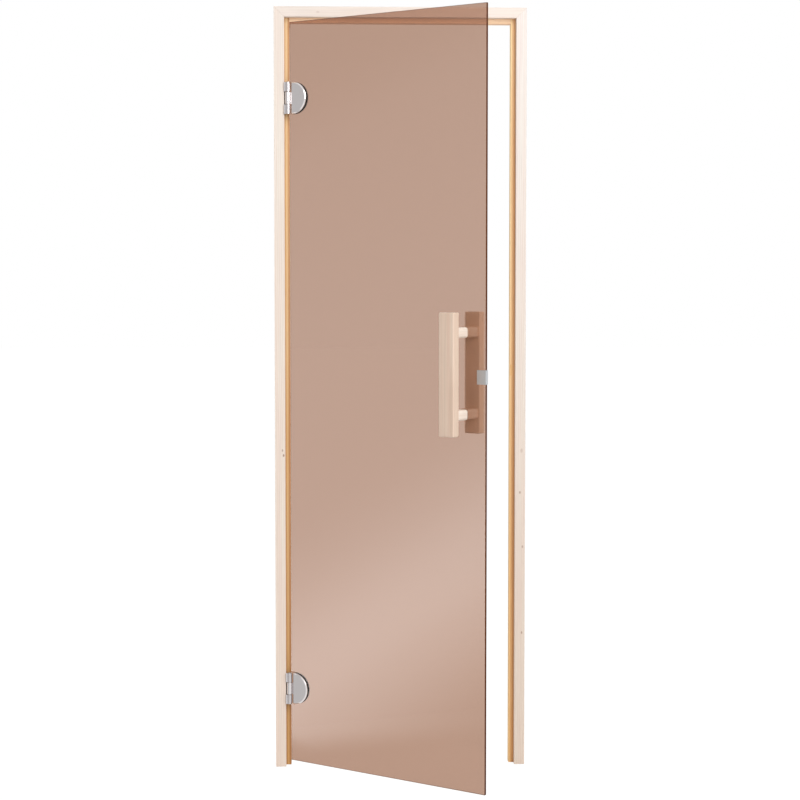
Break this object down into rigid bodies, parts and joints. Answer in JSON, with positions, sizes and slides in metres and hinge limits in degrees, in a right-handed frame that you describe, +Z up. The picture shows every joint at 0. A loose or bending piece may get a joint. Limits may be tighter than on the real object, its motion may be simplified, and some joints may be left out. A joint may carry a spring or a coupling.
{
  "type": "sauna door",
  "caption": "Pale wooden door frame without threshold, with a bronze glass leaf on half-round hinges, a wooden bar handle on each side and a magnetic catch.",
  "frame": {"origin": "the middle of the hinge jamb's outer side face, half-way up and half-way through the frame", "axes": "+X across the opening to the latch jamb, +Y from the outside into the sauna, +Z up; the floor is at z = -1.045 m"},
  "size_m": [0.69, 0.4288, 2.09],
  "materials": {
    "frame_wood": "planed pale softwood, untreated",
    "stop_wood": "planed honey-toned softwood",
    "handle_wood": "smooth sanded pale wood",
    "bronze_glass": "bronze tempered glass with polished edges",
    "hinge_steel": "satin nickel",
    "screw_steel": "zinc-plated",
    "gasket_rubber": "dull black sheet",
    "clip_steel": "satin grey",
    "magnet_housing": "wood-toned plastic housing round the magnet"
  },
  "bodies": {
    "frame": {"hinge_jamb": "frame_wood", "latch_jamb": "frame_wood", "header_rail": "frame_wood", "hinge_jamb_stop": "stop_wood", "latch_jamb_stop": "stop_wood", "header_stop": "stop_wood", "upper_hinge_frame_leaf": "hinge_steel", "lower_hinge_frame_leaf": "hinge_steel", "upper_hinge_pin": "screw_steel", "lower_hinge_pin": "screw_steel", "upper_hinge_frame_screws": "screw_steel", "lower_hinge_frame_screws": "screw_steel", "catch_magnet": "magnet_housing"},
    "leaf": {"glass_pane": "bronze_glass", "upper_hinge_outer_plate": "hinge_steel", "lower_hinge_outer_plate": "hinge_steel", "upper_hinge_inner_plate": "hinge_steel", "lower_hinge_inner_plate": "hinge_steel", "upper_hinge_outer_gasket": "gasket_rubber", "lower_hinge_outer_gasket": "gasket_rubber", "upper_hinge_inner_gasket": "gasket_rubber", "lower_hinge_inner_gasket": "gasket_rubber", "upper_hinge_clamp_screws": "screw_steel", "lower_hinge_clamp_screws": "screw_steel", "outer_handle_bar": "handle_wood", "inner_handle_bar": "handle_wood", "outer_upper_post": "handle_wood", "outer_lower_post": "handle_wood", "inner_upper_post": "handle_wood", "inner_lower_post": "handle_wood", "upper_handle_bolt": "screw_steel", "lower_handle_bolt": "screw_steel", "catch_clip": "clip_steel"}
  },
  "joints": [
    {"name": "leaf_hinge", "type": "hinge", "parent": "frame", "child": "leaf", "pos_m": [0.038, -0.0245, 0], "axis": [0, 0, 1], "range_deg": [-75, 35]}
  ]
}
